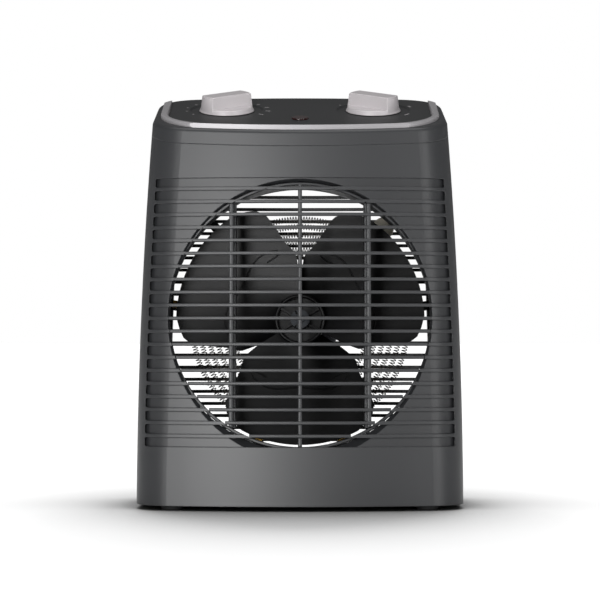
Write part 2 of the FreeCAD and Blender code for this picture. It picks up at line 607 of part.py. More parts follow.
def make_motor():
    """A shaded-pole motor: laminated stator, winding, rotor, two brackets with sleeve bearings."""
    parts = {}
    front, back = STATOR_FRONT, STATOR_FRONT + STATOR_LONG
    half = STATOR_SIDE / 2
    stack = box((-half, half), (-half, half + 7), (front, back)).cut(rod(STATOR_BORE, front - 1, back + 1))
    stack = stack.cut(box((-half + 10, half - 10), (half - 5.5, half), (front - 1, back + 1)))
    for side in (-1, 1):
        stack = stack.cut(rod(2.1, front - 1, back + 1, side * BOLT_X, 0))
    parts["motor_stator"] = on_axis(stack)
    winding = box((-12.8, 12.8), (half - 5.3, half + 12.3), (front - 5.5, back + 5.5))
    winding = winding.cut(box((-14, 14), (half - 0.1, half + 7.1), (front - 0.1, back + 0.1)))
    parts["motor_winding"] = on_axis(winding)
    rotor = rod(ROTOR_R, front, back).cut(rod(SHAFT_R, front - 1, back + 1))
    parts["motor_rotor"] = on_axis(rotor)
    parts["motor_shaft"] = on_axis(rod(SHAFT_R, FAN_FRONT - 2.5, MOUNT_AT - 1.2))
    front_plate = front - 10
    rear_plate = MOUNT_AT - 1.7
    for name, plate, legs, bearing in (
            ("front", front_plate, (front_plate + 1.6, front - 0.05), front_plate),
            ("rear", rear_plate, (back + 0.05, rear_plate), rear_plate - 3.4)):
        bracket = box((-half + 0.5, half - 0.5), (-6, 6), (plate, plate + 1.6))
        pillars = [rod(4.2, legs[0], legs[1], side * BOLT_X, 0) for side in (-1, 1)]
        bracket = joined([bracket] + pillars).cut(rod(4.0, plate - 1, plate + 3))
        for side in (-1, 1):
            low = front_plate + 2.5 if name == "front" else back
            bracket = bracket.cut(rod(2.1, low, MOUNT_AT + 1, side * BOLT_X, 0))
        parts["motor_%s_bracket" % name] = on_axis(bracket)
        parts["motor_%s_bearing" % name] = on_axis(tube(3.95, SHAFT_R + 0.03, bearing, bearing + 5))
    bolts = []
    for side in (-1, 1):
        shank = rod(2.0, front_plate + 3.5, MOUNT_AT + 3.0, side * BOLT_X, 0)
        bolts.append(on_axis(joined([shank, rod(3.8, MOUNT_AT + 2.05, MOUNT_AT + 4.4, side * BOLT_X, 0)])))
    parts["motor_bolts"] = Part.makeCompound(bolts)
    clip = tube(6.0, SHAFT_R + 0.01, FAN_FRONT - 0.6, FAN_FRONT + 0.9)
    for i in range(3):
        notch = box((3.6, 7), (-0.6, 0.6), (FAN_FRONT - 2, FAN_FRONT + 2))
        notch.rotate(Vector(0, 0, 0), Vector(0, 0, 1), 120 * i)
        clip = clip.cut(notch)
    parts["fan_clip"] = on_axis(clip)
    return parts


def make_motor_mount():
    """A stamped ring and six arms that carry the motor and the element in the air stream."""
    outer, inner = MOUNT_RING[1], MOUNT_RING[0]
    low, high = MOUNT_AT, MOUNT_AT + 2.0
    pieces = [tube(outer, inner, low, high), rod(25, low, high)]
    for degrees in BAR_ANGLES:
        arm = box((0, inner + 1.5), (-3, 3), (low, high))
        arm.rotate(Vector(0, 0, 0), Vector(0, 0, 1), -degrees)
        pieces.append(arm)
    for degrees in LUG_ANGLES:
        x, y = LUG_R * math.cos(math.radians(degrees)), LUG_R * math.sin(math.radians(degrees))
        pieces.append(rod(5.0, low, high, x, -y))
        tie = box((inner + 1, LUG_R), (-3.5, 3.5), (low, high))
        tie.rotate(Vector(0, 0, 0), Vector(0, 0, 1), -degrees)
        pieces.append(tie)
    plate = joined(pieces).cut(rod(6, low - 1, high + 1))
    screws = []
    for degrees in LUG_ANGLES:
        x, y = LUG_R * math.cos(math.radians(degrees)), LUG_R * math.sin(math.radians(degrees))
        plate = plate.cut(rod(1.8, low - 1, high + 1, x, -y))
        screws.append(on_axis(joined([rod(1.45, low - 0.5, low + 4.6, x, -y), rod(3.2, low - 2.2, low - 0.05, x, -y)])))
    for side in (-1, 1):
        plate = plate.cut(rod(2.1, low - 1, high + 1, side * BOLT_X, 0))
    return on_axis(plate), Part.makeCompound(screws)


def make_element():
    """Six notched ceramic bars carrying rings of coiled resistance wire, round the motor."""
    rings = [Part.makeTorus(r, COIL_R, Vector(0, 0, ELEMENT_AT)) for r in COIL_RINGS]
    notches = Part.makeCompound([Part.makeTorus(r, COIL_R + 0.12, Vector(0, 0, ELEMENT_AT)) for r in COIL_RINGS])
    bars, tabs = [], []
    for degrees in BAR_ANGLES:
        bar = box((41.0, 76.0), (-2.2, 2.2), (ELEMENT_AT - 0.6, MOUNT_AT - 0.05))
        bar = bar.cut(notches)
        bar.rotate(Vector(0, 0, 0), Vector(0, 0, 1), -degrees)
        bars.append(on_axis(bar))
        tab = box((76.05, 84.0), (-2.4, 2.4), (ELEMENT_AT + 3.0, ELEMENT_AT + 3.8))
        tab.rotate(Vector(0, 0, 0), Vector(0, 0, 1), -degrees)
        tabs.append(on_axis(tab))
    return Part.makeCompound(bars), Part.makeCompound([on_axis(r) for r in rings]), Part.makeCompound(tabs[3:])


def make_thermal_cutout():
    """A snap disc in a cap beside the element, with the one-shot fuse on the other side."""
    def placed(shape, degrees):
        shape.rotate(Vector(0, 0, 0), Vector(0, 0, 1), -degrees)
        return on_axis(shape)

    cap = rod(7.0, 87.6, MOUNT_AT - 0.05, 85.0, 0)
    legs = joined([cap, box((79.0, 91.0), (-2.4, 2.4), (86.8, 87.6))])
    sleeve = rod(1.7, -11, 11)
    sleeve.Placement = Placement(Vector(82.0, 0, MOUNT_AT - 1.8), Rotation(Vector(1, 0, 0), 90))
    return placed(legs, 50), placed(sleeve, 130)


# ---------------------------------------------------------------- base, feet, cord entry and wiring
def make_base_plate(forms):
    top = FOOT_HEIGHT + 2.4
    plate = forms[WALL + 0.35].common(box((-120, 120), (-90, 90), (0, top)))
    tongues = []
    for x in (-50.0, 0.0, 50.0):
        y = front_y(14) + WALL + 0.5 + (abs(x) + 5) ** 2 / (2 * FRONT_BOW)
        tongues.append(box((x - 5, x + 5), (y, y + 1.6), (FOOT_HEIGHT + 0.4, 14)))
    for x in (-50.0, -15.0, 20.0):
        tongues.append(box((x - 5, x + 5), (54.6, 56.2), (FOOT_HEIGHT + 0.4, 14)))
    for x, y in foot_places():
        tongues.append(rod(4.0, top - 1, top + 2.0, x, y))
    plate = joined([plate] + tongues)
    for x, y in foot_places():
        plate = plate.cut(rod(FOOT_R + 0.1, 0, FOOT_HEIGHT + 1.0, x, y))
        plate = plate.cut(rod(2.3, 0, 10, x, y))
    return plate


def foot_places():
    return [(sx * FOOT_X, sy * FOOT_Y) for sx in (-1, 1) for sy in (-1, 1)]


def make_feet():
    feet = []
    for x, y in foot_places():
        pad = Part.makeCone(FOOT_R - 0.8, FOOT_R, 1.0, Vector(x, y, 0))
        feet.append(joined([pad, rod(FOOT_R, 1.0, FOOT_HEIGHT + 0.9, x, y), rod(2.2, 1, FOOT_HEIGHT + 4.8, x, y)]))
    return Part.makeCompound(feet)


def along_y(shape, x, z):
    shape.Placement = Placement(Vector(x, 0, z), Rotation(Vector(1, 0, 0), -90))
    return shape


def make_cord_entry():
    """The gland in the rear wall, the clamp on the base and its two screws."""
    gland = joined([rod(GLAND_R, 56.5, 63.4), rod(8.5, 63.2, 64.8), rod(7.2, 56.5, 58.0)])
    gland = along_y(gland.cut(rod(CORD_R, 50, 70)), CORD_X, CORD_Z)
    base = FOOT_HEIGHT + 2.4
    saddle = box((CORD_X - 12.7, CORD_X + 12.7), (42, 50), (base + 0.05, base + 4.4))
    saddle = saddle.cut(along_y(rod(CORD_R + 0.1, 30, 60), CORD_X, CORD_Z))
    bridge = joined([box((CORD_X - 12.7, CORD_X + 12.7), (42, 50), (CORD_Z + 0.4, CORD_Z + 2.4)),
                     along_y(rod(CORD_R + 2.2, 42, 50), CORD_X, CORD_Z)])
    bridge = bridge.cut(box((CORD_X - 15, CORD_X + 15), (40, 52), (0, CORD_Z + 0.4)))
    bridge = bridge.cut(along_y(rod(CORD_R + 0.1, 30, 60), CORD_X, CORD_Z))
    posts = [rod(3.4, base + 4.3, CORD_Z + 0.35, CORD_X + dx, 46) for dx in (-10, 10)]
    saddle = joined([saddle] + posts)
    screws = []
    for dx in (-10, 10):
        bore = rod(1.5, base + 1.0, CORD_Z + 4, CORD_X + dx, 46)
        saddle, bridge = saddle.cut(bore), bridge.cut(rod(1.8, 0, CORD_Z + 9, CORD_X + dx, 46))
        screws.append(joined([rod(1.45, base + 1.5, CORD_Z + 3, CORD_X + dx, 46),
                              rod(2.9, CORD_Z + 2.45, CORD_Z + 4.4, CORD_X + dx, 46)]))
    return gland, saddle, bridge, Part.makeCompound(screws)


def make_terminal_block():
    base = FOOT_HEIGHT + 2.4
    block = box((-4, 34), (36, 50), (base + 0.05, base + 13))
    screws = []
    for x in (3.0, 15.0, 27.0):
        block = block.cut(rod(2.2, base + 6, base + 20, x, 43))
        block = block.cut(along_y(rod(1.9, 30, 60), x, base + 4.6))
        screws.append(rod(2.0, base + 7.2, base + 11.5, x, 43).cut(box((x - 3, x + 3), (42.6, 43.4), (base + 10.8, 30))))
    return block, Part.makeCompound(screws)


def lead(points, radius):
    """A tube of straight runs joined by tangent arcs, as wide as the runs allow."""
    places = [Vector(*p) for p in points]
    edges = []
    start = places[0]
    for before, here, after in zip(places, places[1:], places[2:]):
        into = (here - before).normalize()
        out = (after - here).normalize()
        turn = into.getAngle(out)
        cut = 0.45 * min((here - before).Length, (after - here).Length)
        first, last = here - into * cut, here + out * cut
        inward = (out - into).normalize()
        arc_r = cut / math.tan(turn / 2)
        middle = here + inward * (arc_r / math.cos(turn / 2) - arc_r)
        edges.append(Part.makeLine(start, first))
        edges.append(Part.Arc(first, middle, last).toShape())
        start = last
    edges.append(Part.makeLine(start, places[-1]))
    along = (places[1] - places[0]).normalize()
    section = Part.Wire([Part.Circle(places[0], along, radius).toShape()])
    return Part.Wire(edges).makePipeShell([section], True, False)


def make_wiring():
    """Insulated leads from the terminal block to the two controls."""
    base = FOOT_HEIGHT + 7.0
    side = 91.0
    to_selector = [(27, 33, base), (36, 14, base + 1), (62, 2, 16), (84, -3, 44), (side, -3, 92),
                   (side - 1, -2, 142), (85, 4, 184), (71, 16, 212), (56.5, 27, 225)]
    to_switch = [(15, 33, base), (22, 10, base + 1), (54, -10, 15), (83, -12, 44), (side, -11, 92),
                 (side - 1, -10, 142), (83, -5, 182), (66, 10, 206), (47, 26, 219)]
    to_thermostat = [(3, 33, base), (-8, 10, base + 1), (-48, -3, 14), (-83, -5, 44), (-side, -4, 92),
                     (1 - side, -3, 142), (-85, 2, 178), (-71, 10, 203), (-68, 19, 240)]
    return Part.makeCompound([lead(p, 1.3) for p in (to_selector, to_switch, to_thermostat)])


def make_shell_screws():
    screws = []
    for x, z in SHELL_SCREWS:
        screw = joined([rod(1.45, SPLIT_Y - 10, SPLIT_Y + SEAM + 6),
                        rod(3.4, SPLIT_Y + SEAM + 5.05, SPLIT_Y + SEAM + 7.4)])
        screws.append(along_y(screw, x, z))
    return Part.makeCompound(screws)


def build():
    """Every node of the heater, by name."""
    insets = (0, 0.5, 1.0, GROOVE_DEPTH, WALL, WALL + 0.35, FIELD_WALL, FIELD_WALL + 0.3,
              SLAT_DEPTH - 0.5, SLAT_DEPTH)
    forms = {inset: form(inset) for inset in insets}
    nodes = {
        "front_shell": make_front_shell(forms),
        "front_grille": make_front_grille(forms),
        "rear_shell": make_rear_shell(forms),
        "rear_grille": make_rear_grille(),
        "top_cap": make_top_cap(forms),
        "trim_ring": make_trim_ring(forms),
        "control_panel": make_control_panel(forms),
        "thermostat_knob": make_knob(-1),
        "selector_knob": make_knob(1),
        "thermostat_spindle": spindle(-1, -10.9),
        "selector_spindle": spindle(1, -16.2),
        "fan_impeller": make_impeller(),
        "base_plate": make_base_plate(forms),
        "feet": make_feet(),
        "shell_screws": make_shell_screws(),
        "thermostat_screws": make_control_screws(),
        "wiring": make_wiring(),
    }
    nodes.update(make_thermostat_parts())
    nodes.update(make_motor())
    nodes["selector_switch"], nodes["selector_tabs"] = make_selector_switch()
    nodes["indicator_lens"], nodes["indicator_lamp"], nodes["lamp_holder"] = make_indicator()
    nodes["motor_mount"], nodes["mount_screws"] = make_motor_mount()
    nodes["element_bars"], nodes["element_coils"], nodes["element_tabs"] = make_element()
    nodes["thermal_cutout"], nodes["thermal_fuse"] = make_thermal_cutout()
    nodes["cord_gland"], nodes["cord_saddle"], nodes["cord_clamp"], nodes["clamp_screws"] = make_cord_entry()
    nodes["terminal_block"], nodes["terminal_screws"] = make_terminal_block()
    return nodes


def main():
    os.makedirs("parts", exist_ok=True)
    for name, shape in build().items():
        shape.exportStep("parts/%s.step" % name)


if __name__ == "__main__":
    main()
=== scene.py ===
"""A compact fan heater: satin anthracite housing, round slatted outlet, two silver knobs on top."""

import json
import math

import bmesh
import bpy
from mathutils import Matrix, Vector


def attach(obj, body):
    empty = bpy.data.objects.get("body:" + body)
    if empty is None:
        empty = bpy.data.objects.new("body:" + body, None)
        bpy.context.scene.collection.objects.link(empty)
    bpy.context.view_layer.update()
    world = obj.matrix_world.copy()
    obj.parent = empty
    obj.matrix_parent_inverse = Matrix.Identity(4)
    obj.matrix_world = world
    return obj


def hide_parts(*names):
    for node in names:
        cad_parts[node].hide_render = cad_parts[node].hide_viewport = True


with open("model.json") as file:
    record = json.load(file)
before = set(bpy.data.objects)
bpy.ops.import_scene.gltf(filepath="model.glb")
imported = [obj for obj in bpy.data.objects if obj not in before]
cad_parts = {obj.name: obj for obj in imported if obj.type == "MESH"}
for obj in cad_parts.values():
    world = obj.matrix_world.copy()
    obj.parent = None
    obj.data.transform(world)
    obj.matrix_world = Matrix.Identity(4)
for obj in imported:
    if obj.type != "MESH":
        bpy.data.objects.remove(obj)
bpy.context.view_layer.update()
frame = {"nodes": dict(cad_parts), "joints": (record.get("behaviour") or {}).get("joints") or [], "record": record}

bl_info = {
    "name": "Fan Heater Builder",
    "version": (1, 0, 0),
    "blender": (4, 5, 0),
    "location": "View3D > Sidebar > Heater",
    "description": "Builds the pieces, finishes and studio of a compact fan heater",
    "category": "Add Mesh",
}

MM = 0.001
JOINTS = {joint["name"]: joint for joint in frame["joints"]}

# Outlet grille, in metres; depths are behind the front face.
SLAT_STEPS = 20               # steps along half a slat
END_GAP = 0.12 * MM           # slats and bars stop this far inside the outlet
SLAT_SET = 0.03 * MM          # slats sit this far behind the face
NOSE_SHARE = 0.6              # share of a slat's half thickness that is rounded at the front
NOSE_STEPS = 4
BACK_SHARE = 0.86             # a slat's thickness at the back, of that at the front
BAR_DEPTHS = (0.5 * MM, 7.4 * MM)
MIDDLE_BAR_HALF = 1.25 * MM
SIDE_BAR_HALF = 1.4 * MM
STAY_HALF = 1.5 * MM
STAY_FRONT = 5.0 * MM
STAY_SHIFT = 1.3 * MM         # the stays stand this far inside the side bars
STAY_CORNER = 0.4 * MM
COLLAR_STEPS = 120
COLLAR_FRONT = 5.2 * MM
COLLAR_BACK = 21.9 * MM       # the stays end here too
COLLAR_INSIDE = -0.15 * MM    # from the outlet's radius
COLLAR_OUTSIDE = 1.95 * MM
COLLAR_CORNER = 0.5 * MM

# Dial marks, in millimetres and degrees round each knob.
TICKS = 11
TICK_FIRST = 216
TICK_TURN = 25
TICK_NEAR = 25.4
TICK_FAR = 26.6
TICK_GROWTH = 0.22            # each tick reaches this much further than the one before
TICK_HALF = 0.35
STOPS = 4                     # places of the selector
STOP_FIRST = 144
STOP_TURN = 60
DOT_GAP = 4.0                 # degrees between the dots of one place
DOT_NEAR = 25.6
DOT_FAR = 26.8
DOT_HALF = 0.6
OFF_HALF = 0.3
MARK_CORNER = 0.2
MARK_LEVELS = (-0.62, -0.56)  # from the rim's plane: in the panel's face, and just above it

# Fan, in millimetres and degrees where nothing else is said.
BLADES = 3
BLADE_SWEEP = 62.0            # half the angle over which the blade climbs the fan's whole depth
BLADE_MARGIN = 2.0
BLADE_CAMBER = 2.4
BLADE_ROOT = 13.5
BLADE_ROWS = 33
BLADE_COLUMNS = 16            # on each side of the blade's middle
BLADE_SPANS = [(12, 59), (30, 58.8), (42, 56.4), (50, 49), (60, 45), (70, 42), (75.4, 37.5), (78.7, 28)]
EDGE_SOFTNESS = 0.45
BEAD_RADIUS = 45.0            # where the bead runs, from the fan's axis
BEAD_DIP = 2.5
BEAD_CURL = 2.8
BEAD_THICK = 0.62
BEAD_SIDES = 8
BEAD_RAISE = 0.15
BEAD_STEPS = 30
BEAD_DIP_SHARE = 0.65         # share of the bead that dips, the rest curls
BEAD_DIP_TURN = 30
BEAD_CURL_TURN = 13
HUB_STEPS = 72
BORE, SLEEVE, HUB_IN, HUB_OUT = 2.53, 6.0, 14.0, 16.0    # radii of the hub's walls
HUB_CUP = 4.9                 # depth of the cup in the hub's front
HUB_CUP_BACK = 9.9            # and of the one in its back
HUB_SET = 1.0                 # the hub's front lies this far behind the blades' front
WEBS = 6
WEB_ENDS = (5.6, 14.4)
WEB_HALF = 0.75
WEB_DEPTHS = (1.3, 5.4)

TWIST_STEPS = 10              # points to a turn of the spiralled wire

# Stage, in metres, degrees and watts.
FLOOR_HALF = 12.0
# The floor's contact shadow is painted into its base colour from ambient occlusion; these set its reach and its
# tones.
FLOOR_SHADE_REACH = 0.16      # how far round a point of the floor is looked for things that hide it
HIDDEN_SHARE, OPEN_SHARE = 0.5, 0.97    # shares of open sky at which the floor is darkest and white
PAINTED_SHADOW_DARKEST, FLOOR_WHITE = 0.2, 0.93
CENTRE = (0.0, 0.0, 0.12)
SOFTBOXES = (                 # name, place, target, width and height, power
    ("key_softbox", (-0.46, -1.52, 0.14), CENTRE, (0.42, 0.95), 23.0),
    ("rim_softbox", (1.02, -1.12, 0.25), CENTRE, (0.4, 1.1), 6.5),
    ("overhead_softbox", (0.0, -0.35, 1.7), (0.0, 0.0, 0.1), (1.4, 0.9), 12.0),
)
SKYLIGHTS = (                 # name, tilt, width of the light's disc, strength
    ("skylight_high", 0, 96, 1.15),
    ("skylight_rear", 52, 52, 2.75),
    ("skylight_front", -64, 64, 1.3),
)
BACKDROP_SEEN = 1.0
BACKDROP_LIGHT = 0.14
CAMERA_PLACE = (0.0, -1.472, 0.1145)
CAMERA_TILT = 90.61           # from looking straight down
CAMERA_LENS_MM = 138.1
CAMERA_SENSOR_MM = 36.0
CAMERA_REACH = 50.0


# ---------------------------------------------------------------- settings
class HeaterSizes(bpy.types.PropertyGroup):
    duct_radius: bpy.props.FloatProperty(
        name="Outlet radius", description="Radius of the round outlet",
        default=81.3 * MM, unit="LENGTH")
    face_bow: bpy.props.FloatProperty(
        name="Face bow", description="Plan radius of the bowed front face",
        default=400.0 * MM, unit="LENGTH")
    rib_pitch: bpy.props.FloatProperty(
        name="Rib pitch", description="Distance from one slat to the next",
        default=8.05 * MM, unit="LENGTH")
    rib_top: bpy.props.FloatProperty(
        name="Top rib", description="Height of the highest slat", default=198.9 * MM, unit="LENGTH")
    rib_count: bpy.props.IntProperty(name="Ribs", description="How many slats", default=20, min=2)
    slat_half: bpy.props.FloatProperty(
        name="Slat half thickness", description="Half of a slat's thickness at its front",
        default=1.04 * MM, unit="LENGTH")
    slat_depth: bpy.props.FloatProperty(
        name="Slat depth", description="Front to back of a slat", default=7.9 * MM, unit="LENGTH")
    bar_x: bpy.props.FloatProperty(
        name="Side bars", description="Distance of the side bars from the middle",
        default=42.5 * MM, unit="LENGTH")
    fan_radius: bpy.props.FloatProperty(
        name="Fan radius", description="Tip radius of the fan", default=78.7 * MM, unit="LENGTH")
    fan_front: bpy.props.FloatProperty(
        name="Fan front", description="From the front face to the fan, along its axis",
        default=31.0 * MM, unit="LENGTH")
    fan_depth: bpy.props.FloatProperty(
        name="Fan depth", description="Front to back of the fan", default=22.0 * MM, unit="LENGTH")
    blade_thick: bpy.props.FloatProperty(
        name="Blade thickness", description="Thickness of a blade", default=1.75 * MM, unit="LENGTH")
    coil_radius: bpy.props.FloatProperty(
        name="Coil radius", description="Radius of the spiralled resistance wire, to the wire's middle",
        default=1.7 * MM, unit="LENGTH")
    coil_wire: bpy.props.FloatProperty(
        name="Coil wire", description="Radius of the resistance wire itself",
        default=0.29 * MM, unit="LENGTH")
    coil_pitch: bpy.props.FloatProperty(
        name="Coil pitch", description="Distance from one turn of the spiral to the next",
        default=1.75 * MM, unit="LENGTH")
    coil_first: bpy.props.FloatProperty(
        name="First ring", description="Radius of the innermost ring of wire",
        default=44.5 * MM, unit="LENGTH")
    coil_step: bpy.props.FloatProperty(
        name="Ring step", description="Distance between rings of wire", default=5.0 * MM, unit="LENGTH")
    coil_rings: bpy.props.IntProperty(
        name="Rings", description="How many rings of wire", default=6, min=1)
    element_depth: bpy.props.FloatProperty(
        name="Element depth", description="From the front face to the rings, along the fan's axis",
        default=78.0 * MM, unit="LENGTH")


class HeaterColours(bpy.types.PropertyGroup):
    housing: bpy.props.StringProperty(
        name="Housing", description="Anthracite ABS, sRGB hex", default="#2C2D2F")
    panel: bpy.props.StringProperty(
        name="Panel", description="Control panel, sRGB hex", default="#232425")
    trim: bpy.props.StringProperty(
        name="Trim", description="Metallised trim ring, sRGB hex", default="#A3A1A3")
    knob: bpy.props.StringProperty(
        name="Knob", description="Silver-painted knobs, sRGB hex", default="#CDC8CA")
    lens: bpy.props.StringProperty(
        name="Lens", description="Indicator lens, sRGB hex", default="#2A0E10")
    fan: bpy.props.StringProperty(
        name="Fan", description="Glass-filled fan, sRGB hex", default="#0E0E0F")


# ---------------------------------------------------------------- shader building
def linear(hex_colour):
    """An sRGB hex colour as the linear RGBA that the shader works in."""
    values = [int(hex_colour[i:i + 2], 16) / 255 for i in (1, 3, 5)]
    return [v / 12.92 if v <= 0.04045 else ((v + 0.055) / 1.055) ** 2.4 for v in values] + [1.0]


def shade(rgba, factor):
    return [min(1.0, c * factor) for c in rgba[:3]] + [1.0]


def add(tree, kind, inputs=None, **settings):
    """Adds a node; each input is a plain value or another node's output."""
    item = tree.nodes.new(kind)
    for key, value in settings.items():
        setattr(item, key, value)
    for key, value in (inputs or {}).items():
        if isinstance(value, bpy.types.NodeSocket):
            tree.links.new(value, item.inputs[key])
        else:
            item.inputs[key].default_value = value
    return item


def new_material(name):
    """An empty node material, with its tree, object coordinates and shader."""
    material = bpy.data.materials.new(name)
    material.use_nodes = True
    tree = material.node_tree
    tree.nodes.clear()
    place = add(tree, "ShaderNodeTexCoord").outputs["Object"]
    shader = add(tree, "ShaderNodeBsdfPrincipled")
    add(tree, "ShaderNodeOutputMaterial", {"Surface": shader.outputs["BSDF"]})
    return material, tree, place, shader


def spread(tree, source, low, high):
    """Maps a 0..1 value onto low..high."""
    scale = add(tree, "ShaderNodeMapRange", {"Value": source, "To Min": low, "To Max": high})
    return scale.outputs["Result"]


def surface(name, colour, roughness, grain_mm, grain_depth_mm, tone=0.05, tone_mm=25.0,
            rough_spread=0.05, stretch=(1.0, 1.0, 1.0), soft_mm=0.0, **sockets):
    """A finish with a fine grain in its bump, drifting tone and uneven gloss.

    A soft_mm above nothing rounds its edges; other sockets of the shader go by name.
    """
    material, tree, place, shader = new_material(name)
    place = add(tree, "ShaderNodeMapping", {"Vector": place, "Scale": stretch}).outputs["Vector"]
    drift = add(tree, "ShaderNodeTexNoise",
                {"Vector": place, "Scale": 1 / (tone_mm * MM), "Detail": 2.0})
    mix = add(tree, "ShaderNodeMix", {"Factor": drift.outputs["Fac"]}, data_type="RGBA")
    ends = [socket for socket in mix.inputs if socket.type == "RGBA"]
    ends[0].default_value = shade(colour, 1 - tone)
    ends[1].default_value = shade(colour, 1 + tone)
    colour_out = next(s for s in mix.outputs if s.type == "RGBA")
    grain = add(tree, "ShaderNodeTexNoise",
                {"Vector": place, "Scale": 1 / (grain_mm * MM), "Detail": 3.0, "Roughness": 0.6})
    gloss = spread(tree, grain.outputs["Fac"],
                   max(0.02, roughness - rough_spread), roughness + rough_spread)
    bump = add(tree, "ShaderNodeBump",
               {"Height": grain.outputs["Fac"], "Distance": grain_depth_mm * MM, "Strength": 1.0})
    if soft_mm:
        rounded = add(tree, "ShaderNodeBevel", {"Radius": soft_mm * MM}, samples=4)
        tree.links.new(rounded.outputs["Normal"], bump.inputs["Normal"])
    tree.links.new(colour_out, shader.inputs["Base Color"])
    tree.links.new(gloss, shader.inputs["Roughness"])
    tree.links.new(bump.outputs["Normal"], shader.inputs["Normal"])
    for key, value in sockets.items():
        shader.inputs[key.replace("_", " ")].default_value = value
    return material


# ---------------------------------------------------------------- finishes
def moulded_abs(colours):
    """Anthracite ABS from a spark-eroded tool: a satin sheen broken up by a fine even grain."""
    return surface("moulded ABS anthracite", linear(colours.housing), 0.42, 0.45, 0.012,
                   tone=0.03, tone_mm=30.0, rough_spread=0.04, soft_mm=0.7, IOR=1.54)


def panel_abs(colours):
    """The same resin under a slightly coarser matt texture, so it reads darker and flatter."""
    return surface("textured ABS panel", linear(colours.panel), 0.5, 0.6, 0.02,
                   tone=0.03, IOR=1.54)


def metallised_trim(colours):
    """ABS with a satin vacuum-metallised coat: soft bright highlights with no sharp image in them."""
    return surface("satin metallised ABS", linear(colours.trim), 0.4, 0.3, 0.003,
                   tone=0.02, rough_spread=0.04, Metallic=0.35)


def silver_paint(colours):
    """Silver paint on ABS: fine flake gives a pearly white-grey with a broad highlight."""
    return surface("silver painted ABS", linear(colours.knob), 0.36, 0.25, 0.004,
                   tone=0.025, rough_spread=0.05, soft_mm=0.6, Metallic=0.25, IOR=1.5)


def red_lens(colours):
    """Tinted acrylic: dark red when the lamp is off, with a wet-looking surface."""
    return surface("tinted acrylic red", linear(colours.lens), 0.12, 1.0, 0.002,
                   tone=0.1, rough_spread=0.03, IOR=1.49, Transmission_Weight=0.25)


def glass_filled_fan(colours):
    """Glass-filled nylon, moulded: near black with a dull gloss and faint flow marks."""
    return surface("moulded glass-filled nylon", linear(colours.fan), 0.4, 0.8, 0.02,
                   tone=0.15, tone_mm=18.0, rough_spread=0.08, IOR=1.53, Specular_IOR_Level=0.2)


def zinc_plate():
    """Zinc-plated steel under a dark passivate: deep cool grey, slightly cloudy."""
    return surface("dark passivated zinc plate", linear("#303235"), 0.5, 0.9, 0.004,
                   tone=0.12, tone_mm=6.0, rough_spread=0.1, Metallic=0.8)


def lamination_steel():
    """Stamped sheets stacked on edge: dark oxidised steel lined every half millimetre."""
    return surface("stacked lamination steel", linear("#5A5C60"), 0.45, 0.5, 0.03,
                   tone=0.2, tone_mm=3.0, rough_spread=0.1, stretch=(0.15, 1.0, 0.15), Metallic=0.9)


def enamelled_copper():
    """Enamelled winding wire: amber red-brown with a varnish gloss."""
    return surface("enamelled copper", linear("#A4582E"), 0.3, 0.4, 0.05,
                   tone=0.15, tone_mm=2.0, stretch=(0.1, 1.0, 1.0), Metallic=0.8)


def resistance_alloy():
    """Iron-chromium-aluminium wire after firing: dull dark oxide."""
    return surface("oxidised resistance alloy", linear("#6B6661"), 0.5, 0.3, 0.01,
                   tone=0.25, tone_mm=4.0, rough_spread=0.12, Metallic=0.7)


def steatite():
    """Pressed and fired steatite: warm white, chalky, faintly speckled."""
    return surface("fired steatite", linear("#D9D3C4"), 0.62, 0.35, 0.03,
                   tone=0.06, tone_mm=1.5, IOR=1.6)


def brass_sheet():
    """Stamped brass, a little tarnished."""
    return surface("stamped brass", linear("#C09A4E"), 0.32, 0.5, 0.004,
                   tone=0.12, tone_mm=4.0, Metallic=1.0)


def sintered_bronze():
    """Sintered bronze: brown, porous and oil-wet."""
    return surface("sintered bronze", linear("#8A6234"), 0.45, 0.25, 0.02,
                   tone=0.2, tone_mm=1.0, Metallic=1.0)


def black_rubber():
    """Moulded rubber: deep grey with a dry bloom."""
    return surface("moulded rubber", linear("#1B1B1C"), 0.75, 0.4, 0.02,
                   tone=0.12, tone_mm=5.0, IOR=1.52)


def phenolic():
    """Pressed phenolic resin: black, slightly speckled."""
    return surface("pressed phenolic", linear("#18181A"), 0.4, 0.3, 0.01,
                   tone=0.25, tone_mm=0.8, IOR=1.6)


def polyamide():
    """Natural polyamide: milky white with a soft shine."""
    return surface("moulded polyamide", linear("#D6D5CE"), 0.45, 0.6, 0.006,
                   tone=0.04, IOR=1.53)


def silicone_sleeve():
    """Braided sleeve in silicone varnish: off-white with a fine cross weave."""
    return surface("braided silicone sleeve", linear("#C9C6BB"), 0.6, 0.25, 0.05,
                   tone=0.1, tone_mm=0.8, IOR=1.43)


def lamp_glass():
    """A neon lamp's soda glass, faintly amber."""
    return surface("soda glass lamp", linear("#E0B890"), 0.08, 0.8, 0.002,
                   tone=0.05, rough_spread=0.02, IOR=1.52, Transmission_Weight=0.9)


def floor_with_painted_shadow():
    """A white floor in matt paint, with a painted contact shadow: its base colour greys by ambient occlusion close
    to whatever stands on it.
    """
    material, tree, place, shader = new_material("matt white floor paint")
    near = add(tree, "ShaderNodeAmbientOcclusion", {"Distance": FLOOR_SHADE_REACH}, samples=12)
    # Painted contact shadow: the ambient occlusion is mapped onto the floor's base colour, darkest where things
    # stand closest.
    grey = add(tree, "ShaderNodeMapRange",
               {"Value": near.outputs["AO"], "From Min": HIDDEN_SHARE, "From Max": OPEN_SHARE,
                "To Min": PAINTED_SHADOW_DARKEST, "To Max": FLOOR_WHITE})
    nap = add(tree, "ShaderNodeTexNoise", {"Vector": place, "Scale": 1 / (2.0 * MM), "Detail": 2.0})
    gloss = spread(tree, nap.outputs["Fac"], 0.85, 0.95)
    tree.links.new(grey.outputs["Result"], shader.inputs["Base Color"])
    tree.links.new(gloss, shader.inputs["Roughness"])
    shader.inputs["Specular IOR Level"].default_value = 0.1
    return material


